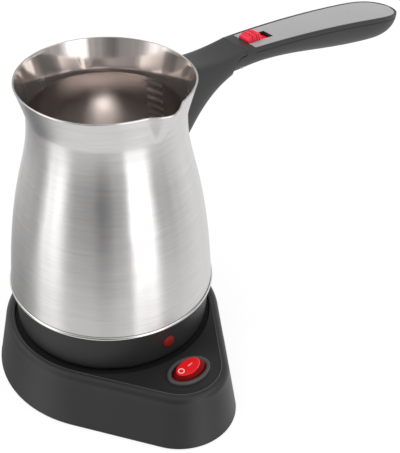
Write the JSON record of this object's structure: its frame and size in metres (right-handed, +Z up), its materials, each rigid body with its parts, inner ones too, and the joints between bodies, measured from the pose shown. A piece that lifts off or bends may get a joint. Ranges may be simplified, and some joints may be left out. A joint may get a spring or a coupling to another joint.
{
  "type": "electric turkish coffee maker",
  "caption": "Steel coffee pot with a flared rim, pressed spout and latched folding handle, on a plug-in power base with an oval rocker switch and an indicator light.",
  "frame": {"origin": "on the pot's axis, at the surface that the base's feet stand on", "axes": "+Z up along the pot's axis, +X towards the handle's tip, -Y towards the spout, the indicator light and the base's nose with the switch"},
  "size_m": [0.2565, 0.147, 0.1657],
  "materials": {
    "pot_steel": "satin, brushed round the axis",
    "hem_steel": "polished",
    "screw_steel": "bright zinc plate",
    "base_plastic": "fine grain, satin",
    "handle_plastic": "fine grain, satin",
    "socket_plastic": "smooth",
    "panel_plastic": "satin silver grey",
    "bezel_plastic": "satin grey",
    "red_plastic": "smooth",
    "lens_plastic": "dark red, clear",
    "lamp_glass": "clear, orange glow gas",
    "heater_aluminium": "cast",
    "element_steel": "dull",
    "cutout_ceramic": "unglazed ceramic",
    "contact_brass": "bright",
    "foot_rubber": "matt"
  },
  "bodies": {
    "base": {"base_shell": "base_plastic", "base_floor": "base_plastic", "rubber_feet": "foot_rubber", "floor_screws": "screw_steel", "base_plug": "socket_plastic", "plug_contacts": "contact_brass", "plug_screws": "screw_steel", "switch_housing": "bezel_plastic", "switch_blades": "contact_brass"},
    "rocker": {"switch_rocker": "red_plastic"},
    "pot": {"vessel_wall": "pot_steel", "vessel_floor": "pot_steel", "hem_ring": "hem_steel", "heater_plate": "heater_aluminium", "heating_element": "element_steel", "thermal_cutout": "cutout_ceramic", "foot_housing": "base_plastic", "foot_screws": "screw_steel", "pot_socket": "socket_plastic", "socket_contacts": "contact_brass", "indicator_lens": "lens_plastic", "indicator_lamp": "lamp_glass", "neck_strap": "screw_steel", "handle_bracket": "handle_plastic", "bracket_screws": "screw_steel", "hinge_pin": "screw_steel"},
    "grip": {"grip_shell": "handle_plastic", "grip_panel": "panel_plastic", "grip_screws": "screw_steel"},
    "latch": {"latch_button": "red_plastic", "latch_bolt": "screw_steel", "latch_spring": "screw_steel"}
  },
  "joints": [
    {"name": "rocker_tip", "type": "hinge", "parent": "base", "child": "rocker", "pos_m": [0, -0.0636, 0.031], "axis": [0, 1, 0], "range_deg": [0, 20]},
    {"name": "pot_lift", "type": "slide", "parent": "base", "child": "pot", "axis": [0, 0, 1], "range_m": [0, 0.06]},
    {"name": "grip_fold", "type": "hinge", "parent": "pot", "child": "grip", "pos_m": [0.077, 0, 0.1507], "axis": [0, 1, 0], "range_deg": [0, 80]},
    {"name": "latch_slide", "type": "slide", "parent": "grip", "child": "latch", "axis": [1, 0, 0], "range_m": [0, 0.008], "stiffness_N_per_m": 100, "springref_m": -0.01, "deforming": ["latch_spring"]}
  ]
}
